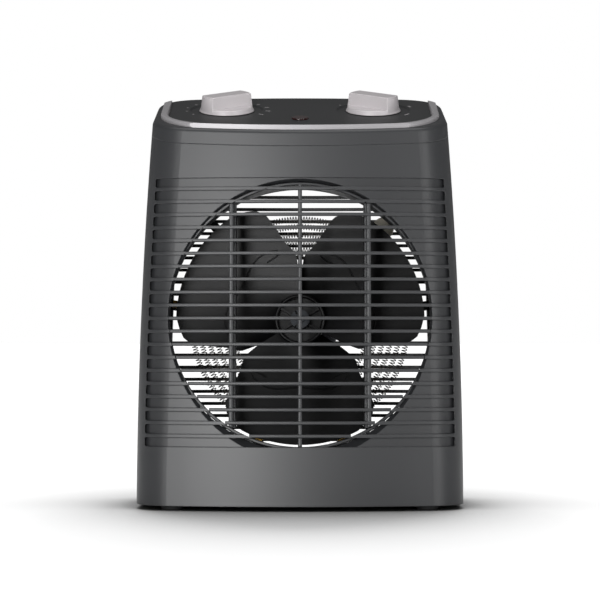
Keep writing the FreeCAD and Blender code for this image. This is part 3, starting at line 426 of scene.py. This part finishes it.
SLOT_FINISHES = {
    "anthracite_abs": moulded_abs, "panel_black": panel_abs, "trim_silver": metallised_trim,
    "knob_silver": silver_paint, "lens_red": red_lens, "fan_black": glass_filled_fan,
    "zinc_steel": zinc_plate, "lamination": lamination_steel, "bronze": sintered_bronze,
    "brass": brass_sheet, "copper": enamelled_copper, "resistance_wire": resistance_alloy,
    "steatite": steatite, "rubber_black": black_rubber, "phenolic_black": phenolic,
    "polyamide_white": polyamide, "wire_sleeve": silicone_sleeve, "lamp_glass": lamp_glass,
}
COLOURED = {"anthracite_abs", "panel_black", "trim_silver", "knob_silver", "lens_red", "fan_black"}


def finish_of(slot):
    """The one material of a slot, made when it is first asked for."""
    key = "heater_" + slot
    if key not in bpy.context.scene:
        maker = SLOT_FINISHES[slot]
        made = maker(bpy.context.scene.heater_colours) if slot in COLOURED else maker()
        bpy.context.scene[key] = made.name
    return bpy.data.materials[bpy.context.scene[key]]


def dress(names):
    """Gives carried-over nodes the finish of their slot."""
    slots = {part["node"]: part["material_slot"] for part in frame["record"]["subparts"]}
    for name in names:
        obj = frame["nodes"][name]
        obj.data.materials.clear()
        obj.data.materials.append(finish_of(slots[name]))


def finish_piece(obj, slot, body):
    """Common end of every new piece: its material, slot and body."""
    obj.data.materials.clear()
    obj.data.materials.append(finish_of(slot))
    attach(obj, body)


# ---------------------------------------------------------------- places
def joint_frame(name):
    """A matrix at a joint, X to the right and Z along its axis: back through the fan, or up a knob."""
    joint = JOINTS[name]
    x = Vector((1, 0, 0))
    z = Vector(joint["axis"]).normalized()
    y = z.cross(x)
    return Matrix.Translation(joint["pos_m"]) @ Matrix((x, y, z)).transposed().to_4x4()


# ---------------------------------------------------------------- mesh helpers
def skin(build, rings, looped=False):
    """Joins rings of points into one skin; an open run is closed with end caps."""
    layers = [[build.verts.new(point) for point in ring] for ring in rings]
    pairs = list(zip(layers, layers[1:])) + ([(layers[-1], layers[0])] if looped else [])
    for one, two in pairs:
        for i in range(len(one)):
            j = (i + 1) % len(one)
            build.faces.new((one[i], one[j], two[j], two[i]))
    if not looped:
        build.faces.new(layers[0][::-1])
        build.faces.new(layers[-1])


def piece(name, build, place=None, smooth=35):
    """Ends a bmesh as a linked object with consistent normals and edges sharp past an angle."""
    bmesh.ops.recalc_face_normals(build, faces=build.faces)
    mesh = bpy.data.meshes.new(name)
    build.to_mesh(mesh)
    build.free()
    if place is not None:
        mesh.transform(place)
    mesh.polygons.foreach_set("use_smooth", [True] * len(mesh.polygons))
    mesh.set_sharp_from_angle(angle=math.radians(smooth))
    obj = bpy.data.objects.new(name, mesh)
    bpy.context.scene.collection.objects.link(obj)
    return obj


def bar_section(half, depth, start=0.0):
    """A bar's section as (across, depth) pairs: rounded at the front, slightly tapered to the back."""
    round_off = half * NOSE_SHARE
    nose = []
    for step in range(NOSE_STEPS + 1):
        turn = math.pi / 2 * step / NOSE_STEPS
        across = half - round_off + round_off * math.sin(turn)
        nose.append((across, start + round_off * (1 - math.cos(turn))))
    mirrored = [(-across, d) for across, d in reversed(nose)]
    back = half * BACK_SHARE
    return [(-back, depth)] + mirrored + nose + [(back, depth)]


def chamfered(near, far, front, back, corner):
    """A flat section as (across, depth) pairs, with its two front corners cut off."""
    return [(near, back), (near, front + corner), (near + corner, front),
            (far - corner, front), (far, front + corner), (far, back)]


def bow_at(x, radius):
    """How far the bowed face has fallen back at a distance from the middle."""
    return radius - math.sqrt(radius * radius - x * x)


# ---------------------------------------------------------------- operators
class HEATER_OT_housing(bpy.types.Operator):
    """Finishes the housing mouldings, grilles and base."""
    bl_idname = "heater.housing"
    bl_label = "Housing"

    def execute(self, context):
        dress(["front_shell", "rear_shell", "top_cap", "base_plate", "rear_grille", "feet",
               "cord_gland", "shell_screws"])
        return {"FINISHED"}


class HEATER_OT_grille(bpy.types.Operator):
    """Moulds the outlet grille: round-nosed slats and bars, two deep stays and their collar."""
    bl_idname = "heater.grille"
    bl_label = "Outlet grille"

    def execute(self, context):
        sizes = context.scene.heater_sizes
        axis = joint_frame("fan_spin")
        middle = axis.translation
        lean = math.tan(math.asin(-axis[2][2]))
        build = bmesh.new()
        reach = sizes.duct_radius - END_GAP
        for rib in range(sizes.rib_count):
            z = sizes.rib_top - rib * sizes.rib_pitch
            rise = (z - middle.z) / math.cos(math.atan(lean))
            half = math.sqrt(reach * reach - rise * rise)
            rings = []
            for step in range(2 * SLAT_STEPS + 1):
                x = half * (step / SLAT_STEPS - 1)
                y = middle.y + (z - middle.z) * lean + bow_at(x, sizes.face_bow) + SLAT_SET
                section = bar_section(sizes.slat_half, sizes.slat_depth)
                rings.append([(x, y + depth, z + across) for across, depth in section])
            skin(build, rings)
        start, end = BAR_DEPTHS
        for side, half in ((0, MIDDLE_BAR_HALF), (-1, SIDE_BAR_HALF), (1, SIDE_BAR_HALF)):
            bar = bar_section(half, end, start)
            self.upright(build, sizes, middle, lean, reach, side * sizes.bar_x, bar)
        plate = chamfered(-STAY_HALF, STAY_HALF, STAY_FRONT, COLLAR_BACK, STAY_CORNER)
        for side in (-1, 1):
            self.upright(build, sizes, middle, lean, reach, side * (sizes.bar_x - STAY_SHIFT), plate)
        obj = piece("outlet_grille", build)
        ring = piece("outlet_collar", self.collar(sizes, reach), axis)
        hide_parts("front_grille")
        for part in (obj, ring):
            finish_piece(part, "anthracite_abs", "chassis")
        return {"FINISHED"}

    def collar(self, sizes, reach):
        build = bmesh.new()
        rings = []
        for step in range(COLLAR_STEPS):
            turn = 2 * math.pi * step / COLLAR_STEPS
            front = COLLAR_FRONT + bow_at(reach * math.cos(turn), sizes.face_bow)
            profile = chamfered(sizes.duct_radius + COLLAR_INSIDE, sizes.duct_radius + COLLAR_OUTSIDE,
                                front, COLLAR_BACK, COLLAR_CORNER)
            rings.append([(r * math.cos(turn), r * math.sin(turn), d) for r, d in profile])
        skin(build, rings, looped=True)
        return build

    def upright(self, build, sizes, middle, lean, reach, x, section):
        tall = math.sqrt(reach * reach - x * x) * math.cos(math.atan(lean))
        rings = []
        for end in (-1, 1):
            y = middle.y + end * tall * lean + bow_at(x, sizes.face_bow)
            rings.append([(x + a, y + d, middle.z + end * tall) for a, d in section])
        skin(build, rings)


class HEATER_OT_dials(bpy.types.Operator):
    """Prints plain marks round the knobs: growing ticks for the thermostat, dots for the selector."""
    bl_idname = "heater.dials"
    bl_label = "Dial marks"

    def execute(self, context):
        for joint, name, draw in (("thermostat_turn", "dial_ticks", self.ticks),
                                  ("selector_turn", "dial_dots", self.dots)):
            build = bmesh.new()
            draw(build)
            obj = piece(name, build, joint_frame(joint))
            finish_piece(obj, "knob_silver", "chassis")
        return {"FINISHED"}

    def ticks(self, build):
        for step in range(TICKS):
            far = TICK_FAR + TICK_GROWTH * step
            self.dash(build, TICK_FIRST - TICK_TURN * step, TICK_NEAR, far, TICK_HALF)

    def dots(self, build):
        """The off place has one thin dot; the places after it have one, two and three."""
        for place in range(STOPS):
            count = max(1, place)
            for dot in range(count):
                offset = (dot - (count - 1) / 2) * DOT_GAP
                half = DOT_HALF if place else OFF_HALF
                self.dash(build, STOP_FIRST - STOP_TURN * place + offset, DOT_NEAR, DOT_FAR, half)

    def dash(self, build, degrees, near, far, half):
        turn = Matrix.Rotation(math.radians(degrees), 4, "Z")
        tip, corner = half * 0.6, MARK_CORNER
        outline = [(near, -tip), (near + corner, -half), (far - corner, -half), (far, -tip),
                   (far, tip), (far - corner, half), (near + corner, half), (near, tip)]
        skin(build, [[turn @ Vector((x * MM, y * MM, z * MM)) for x, y in outline]
                     for z in MARK_LEVELS])


class HEATER_OT_top(bpy.types.Operator):
    """Finishes the control panel, its trim, the knobs and the indicator."""
    bl_idname = "heater.top"
    bl_label = "Top"

    def execute(self, context):
        dress(["control_panel", "trim_ring", "thermostat_knob", "selector_knob", "indicator_lens",
               "thermostat_spindle", "selector_spindle"])
        return {"FINISHED"}


class HEATER_OT_fan(bpy.types.Operator):
    """Moulds the fan's hub and its soft-edged, beaded blades, and finishes the motor."""
    bl_idname = "heater.fan"
    bl_label = "Fan and motor"

    def execute(self, context):
        sizes = context.scene.heater_sizes
        build = bmesh.new()
        for blade in range(BLADES):
            turn = Matrix.Rotation(2 * math.pi * blade / BLADES, 4, "Z")
            self.blade(build, sizes, turn)
            self.bead(build, sizes, turn)
        self.hub(build, sizes)
        obj = piece("fan_wheel", build, joint_frame("fan_spin"), smooth=50)
        soften = obj.modifiers.new("rounded edges", "BEVEL")
        soften.width = EDGE_SOFTNESS * MM
        soften.segments = 2
        soften.limit_method = "ANGLE"
        soften.angle_limit = math.radians(60)
        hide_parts("fan_impeller")
        finish_piece(obj, "fan_black", "fan")
        dress([name for name in frame["nodes"] if name.startswith("motor_") and name != "motor_mount"])
        dress(["fan_clip"])
        return {"FINISHED"}

    def lift(self, sizes, degrees):
        """The front surface of a blade along the axis, at an angle from the blade's middle."""
        share = degrees / BLADE_SWEEP
        middle = sizes.fan_front + sizes.fan_depth / 2
        climb = share * (sizes.fan_depth / 2 - BLADE_MARGIN * MM)
        return middle + climb + BLADE_CAMBER * MM * (share * share - 0.5)

    def edge(self, sizes, radius):
        """Half the angle a blade spans at a radius."""
        at = radius / sizes.fan_radius * BLADE_SPANS[-1][0]
        for (r0, a0), (r1, a1) in zip(BLADE_SPANS, BLADE_SPANS[1:]):
            if at <= r1:
                return a0 + (a1 - a0) * (at - r0) / (r1 - r0)
        return BLADE_SPANS[-1][1]

    def spot(self, sizes, radius, degrees, back=0.0):
        a = math.radians(degrees)
        return Vector((radius * math.sin(a), radius * math.cos(a), self.lift(sizes, degrees) + back))

    def blade(self, build, sizes, turn):
        rings = []
        root = BLADE_ROOT * MM
        shares = [i / BLADE_COLUMNS - 1 for i in range(2 * BLADE_COLUMNS + 1)]
        for row in range(BLADE_ROWS + 1):
            radius = root + (sizes.fan_radius - root) * row / BLADE_ROWS
            half = self.edge(sizes, radius)
            front = [self.spot(sizes, radius, half * share) for share in shares]
            back = [self.spot(sizes, radius, -half * share, sizes.blade_thick) for share in shares]
            rings.append([turn @ point for point in front + back])
        skin(build, rings)

    def bead(self, build, sizes, turn):
        """A low moulded bead across the blade, dipping in the middle and curling at both ends."""
        path = []
        for step in range(-BEAD_STEPS, BEAD_STEPS + 1):
            share = step / BEAD_STEPS
            if abs(share) < BEAD_DIP_SHARE:
                along = share / BEAD_DIP_SHARE
                dip = BEAD_DIP * math.cos(along * math.pi)
                path.append((BEAD_RADIUS - dip, along * BEAD_DIP_TURN))
            else:
                curl = (abs(share) - BEAD_DIP_SHARE) / (1 - BEAD_DIP_SHARE) * math.pi
                turned = BEAD_DIP_TURN + BEAD_CURL_TURN * math.sin(curl)
                fall = BEAD_CURL * (1 - math.cos(curl))
                path.append((BEAD_RADIUS + BEAD_DIP - fall, math.copysign(turned, share)))
        rings = []
        for radius, degrees in path:
            centre = self.spot(sizes, radius * MM, degrees, BEAD_RAISE * MM)
            out = Vector((centre.x, centre.y, 0)).normalized()
            ring = [centre + (out * math.cos(a) + Vector((0, 0, 1)) * math.sin(a)) * BEAD_THICK * MM
                    for a in [2 * math.pi * i / BEAD_SIDES for i in range(BEAD_SIDES)]]
            rings.append([turn @ point for point in ring])
        skin(build, rings)

    def hub(self, build, sizes):
        """A sleeve on the shaft inside a cup-shaped hub, joined by a floor and webs before it."""
        front, back = sizes.fan_front + HUB_SET * MM, sizes.fan_front + sizes.fan_depth
        floor, under = front + HUB_CUP * MM, back - HUB_CUP_BACK * MM
        profile = [(BORE, front), (SLEEVE - 0.3, front), (SLEEVE, front + 0.3 * MM), (SLEEVE, floor),
                   (HUB_IN, floor), (HUB_IN, front + 0.4 * MM), (HUB_IN + 0.4, front),
                   (HUB_OUT - 0.6, front), (HUB_OUT, front + 0.6 * MM), (HUB_OUT, back), (HUB_IN, back),
                   (HUB_IN, under), (SLEEVE, under), (SLEEVE, back), (BORE, back)]
        rings = []
        for step in range(HUB_STEPS):
            a = 2 * math.pi * step / HUB_STEPS
            rings.append([(r * MM * math.cos(a), r * MM * math.sin(a), z) for r, z in profile])
        skin(build, rings, looped=True)
        near, far = WEB_ENDS
        shape = [(near, -WEB_HALF), (far, -WEB_HALF), (far, WEB_HALF), (near, WEB_HALF)]
        for web in range(WEBS):
            turn = Matrix.Rotation(2 * math.pi * (web + 0.5) / WEBS, 4, "Z")
            skin(build, [[turn @ Vector((x * MM, y * MM, front + depth * MM)) for x, y in shape]
                         for depth in WEB_DEPTHS])


class HEATER_OT_element(bpy.types.Operator):
    """Winds the resistance wire into rings on the ceramic bars."""
    bl_idname = "heater.element"
    bl_label = "Element"

    def execute(self, context):
        sizes = context.scene.heater_sizes
        curve = bpy.data.curves.new("element_wire", "CURVE")
        curve.dimensions = "3D"
        curve.bevel_depth = sizes.coil_wire
        curve.bevel_resolution = 1
        curve.resolution_u = 1
        for ring in range(sizes.coil_rings):
            radius = sizes.coil_first + ring * sizes.coil_step
            turns = round(2 * math.pi * radius / sizes.coil_pitch)
            spline = curve.splines.new("POLY")
            count = turns * TWIST_STEPS
            spline.points.add(count - 1)
            for i in range(count):
                around = 2 * math.pi * i / count
                twist = 2 * math.pi * i / TWIST_STEPS
                reach = radius + sizes.coil_radius * math.cos(twist)
                depth = sizes.element_depth + sizes.coil_radius * math.sin(twist)
                spline.points[i].co = (reach * math.cos(around), reach * math.sin(around), depth, 1)
            spline.use_cyclic_u = True
        obj = bpy.data.objects.new("element_wire", curve)
        context.scene.collection.objects.link(obj)
        curve.transform(joint_frame("fan_spin"))
        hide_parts("element_coils")
        finish_piece(obj, "resistance_wire", "chassis")
        dress(["element_bars", "element_tabs", "thermal_cutout", "thermal_fuse",
               "motor_mount", "mount_screws"])
        return {"FINISHED"}


class HEATER_OT_insides(bpy.types.Operator):
    """Finishes what sits out of sight: controls, terminals and leads."""
    bl_idname = "heater.insides"
    bl_label = "Insides"

    def execute(self, context):
        dress(["thermostat_frame", "thermostat_base", "thermostat_bimetal", "thermostat_contact",
               "thermostat_screws", "selector_switch", "selector_tabs", "indicator_lamp",
               "lamp_holder", "cord_saddle", "cord_clamp", "clamp_screws", "terminal_block",
               "terminal_screws", "wiring"])
        return {"FINISHED"}


class HEATER_OT_stage(bpy.types.Operator):
    """Lays the floor and sets the lights, surroundings and camera."""
    bl_idname = "heater.stage"
    bl_label = "Stage"

    def execute(self, context):
        self.floor(context)
        self.surroundings(context)
        for settings in SOFTBOXES:
            self.softbox(context, *settings)
        for settings in SKYLIGHTS:
            self.skylight(context, *settings)
        self.camera(context)
        return {"FINISHED"}

    def floor(self, context):
        mesh = bpy.data.meshes.new("floor")
        build = bmesh.new()
        bmesh.ops.create_grid(build, x_segments=2, y_segments=2, size=FLOOR_HALF)
        build.to_mesh(mesh)
        build.free()
        obj = bpy.data.objects.new("floor", mesh)
        context.scene.collection.objects.link(obj)
        mesh.materials.append(floor_with_painted_shadow())
        for name, state in (("floor_only", "INCLUDE"), ("all_but_floor", "EXCLUDE")):
            group = bpy.data.collections.new(name)
            group.objects.link(obj)
            group.collection_objects[0].light_linking.link_state = state

    def skylight(self, context, name, tilt, angle, strength):
        """A wide soft light that falls on the floor alone, so the white runs clear to the horizon."""
        light = bpy.data.lights.new(name, "SUN")
        light.energy = strength
        light.angle = math.radians(angle)
        obj = bpy.data.objects.new(name, light)
        obj.rotation_euler = (math.radians(-tilt), 0, 0)
        context.scene.collection.objects.link(obj)
        obj.light_linking.receiver_collection = bpy.data.collections["floor_only"]

    def surroundings(self, context):
        world = bpy.data.worlds.new("studio")
        context.scene.world = world
        world.use_nodes = True
        tree = world.node_tree
        tree.nodes.clear()
        white = (1, 1, 1, 1)
        seen = add(tree, "ShaderNodeBackground", {"Color": white, "Strength": BACKDROP_SEEN})
        lit = add(tree, "ShaderNodeBackground", {"Color": white, "Strength": BACKDROP_LIGHT})
        path = add(tree, "ShaderNodeLightPath")
        mix = add(tree, "ShaderNodeMixShader",
                  {0: path.outputs["Is Camera Ray"], 1: lit.outputs[0], 2: seen.outputs[0]})
        add(tree, "ShaderNodeOutputWorld", {"Surface": mix.outputs[0]})
        context.scene.view_settings.view_transform = "Standard"
        context.scene.view_settings.look = "None"

    def softbox(self, context, name, place, target, size, power):
        """A large rectangular light that leaves the floor out."""
        light = bpy.data.lights.new(name, "AREA")
        light.shape = "RECTANGLE"
        light.size, light.size_y = size
        light.energy = power
        obj = bpy.data.objects.new(name, light)
        obj.location = place
        obj.rotation_euler = (Vector(target) - Vector(place)).to_track_quat("-Z", "Y").to_euler()
        context.scene.collection.objects.link(obj)
        obj.light_linking.receiver_collection = bpy.data.collections["all_but_floor"]

    def camera(self, context):
        camera = bpy.data.cameras.new("camera")
        camera.lens = CAMERA_LENS_MM
        camera.sensor_width = CAMERA_SENSOR_MM
        camera.clip_end = CAMERA_REACH
        obj = bpy.data.objects.new("camera", camera)
        obj.location = CAMERA_PLACE
        obj.rotation_euler = (math.radians(CAMERA_TILT), 0, 0)
        context.scene.collection.objects.link(obj)
        context.scene.camera = obj


OPERATORS = [HEATER_OT_housing, HEATER_OT_grille, HEATER_OT_top, HEATER_OT_dials, HEATER_OT_fan,
             HEATER_OT_element, HEATER_OT_insides, HEATER_OT_stage]


class HEATER_PT_builder(bpy.types.Panel):
    """Lists the steps that build the heater."""
    bl_idname = "HEATER_PT_builder"
    bl_label = "Fan heater"
    bl_space_type = "VIEW_3D"
    bl_region_type = "UI"
    bl_category = "Heater"

    def draw(self, context):
        for group in (context.scene.heater_sizes, context.scene.heater_colours):
            for name in group.__annotations__:
                self.layout.prop(group, name)
        for operator in OPERATORS:
            self.layout.operator(operator.bl_idname)


CLASSES = [HeaterSizes, HeaterColours] + OPERATORS + [HEATER_PT_builder]


def register():
    for cls in CLASSES:
        bpy.utils.register_class(cls)
    bpy.types.Scene.heater_sizes = bpy.props.PointerProperty(type=HeaterSizes)
    bpy.types.Scene.heater_colours = bpy.props.PointerProperty(type=HeaterColours)


def unregister():
    del bpy.types.Scene.heater_colours
    del bpy.types.Scene.heater_sizes
    for cls in reversed(CLASSES):
        bpy.utils.unregister_class(cls)


def main():
    register()
    for operator in OPERATORS:
        group, name = operator.bl_idname.split(".")
        getattr(getattr(bpy.ops, group), name)()


if __name__ == "__main__":
    main()
